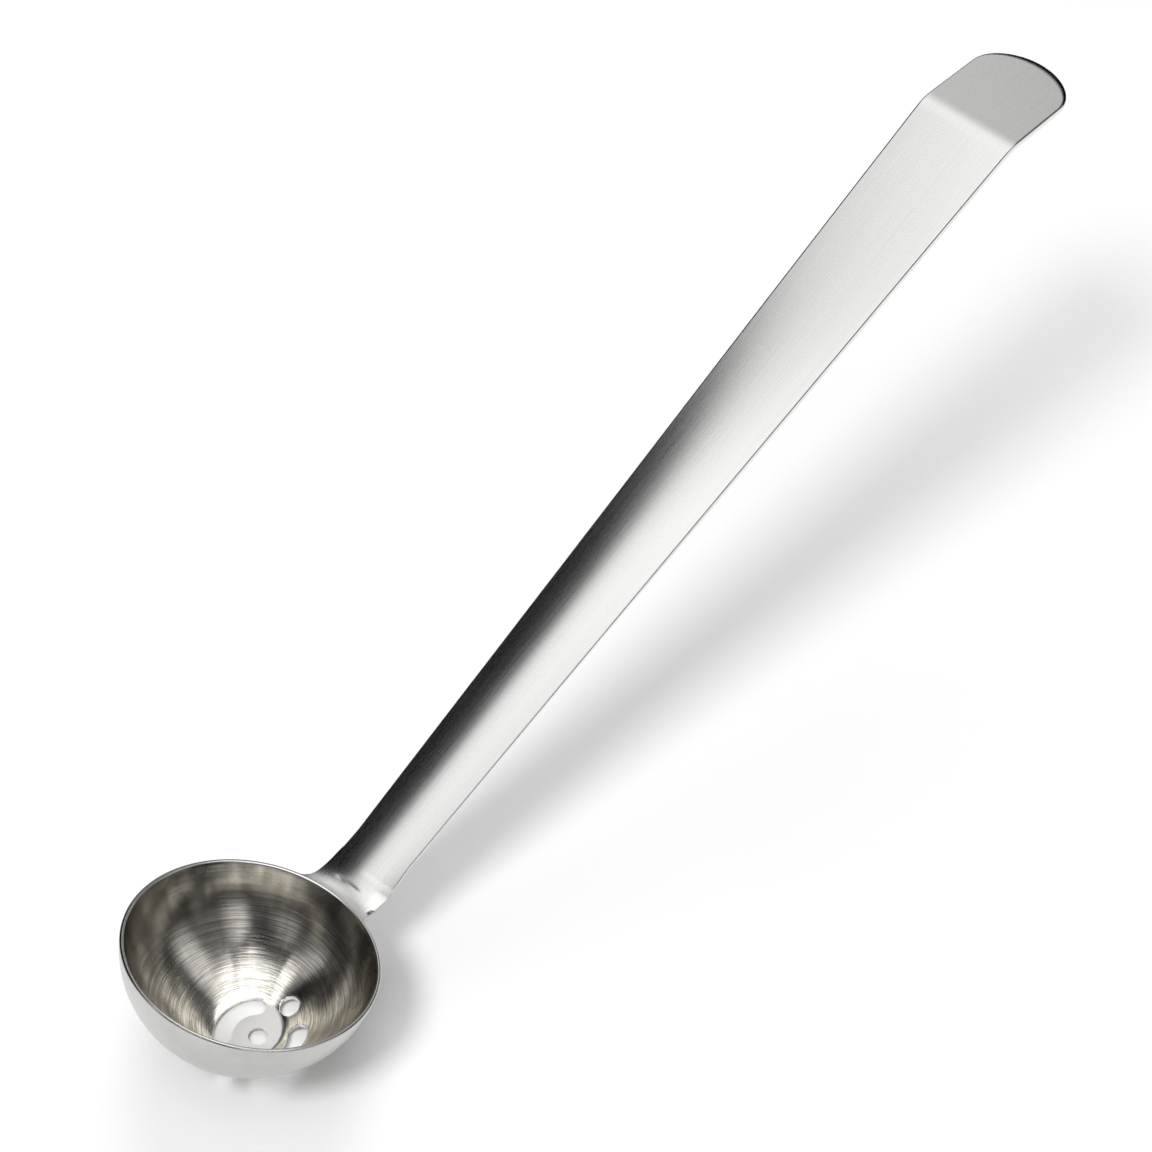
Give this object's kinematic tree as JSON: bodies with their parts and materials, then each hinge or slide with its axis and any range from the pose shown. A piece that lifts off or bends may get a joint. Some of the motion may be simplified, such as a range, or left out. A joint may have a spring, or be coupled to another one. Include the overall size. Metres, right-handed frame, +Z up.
{
  "type": "olive spoon",
  "caption": "Long-handled steel serving spoon with a deep cup pierced by drain holes, for lifting olives out of brine.",
  "frame": {"origin": "on the underside of the cup's flat base, in the plane of the handle, 3.25 mm to the +Y side of the centre drain hole", "axes": "+Z up with the cup standing on its base, +X the way the handle runs out from the cup, +Y across the handle"},
  "size_m": [0.2047, 0.0402, 0.0869],
  "materials": {
    "bowl": "satin outside, turned rings inside",
    "handle": "fine lengthwise brushing",
    "weld": "ground smooth"
  },
  "bodies": {
    "root": {"bowl": "bowl", "handle": "handle", "weld": "weld"}
  },
  "joints": []
}
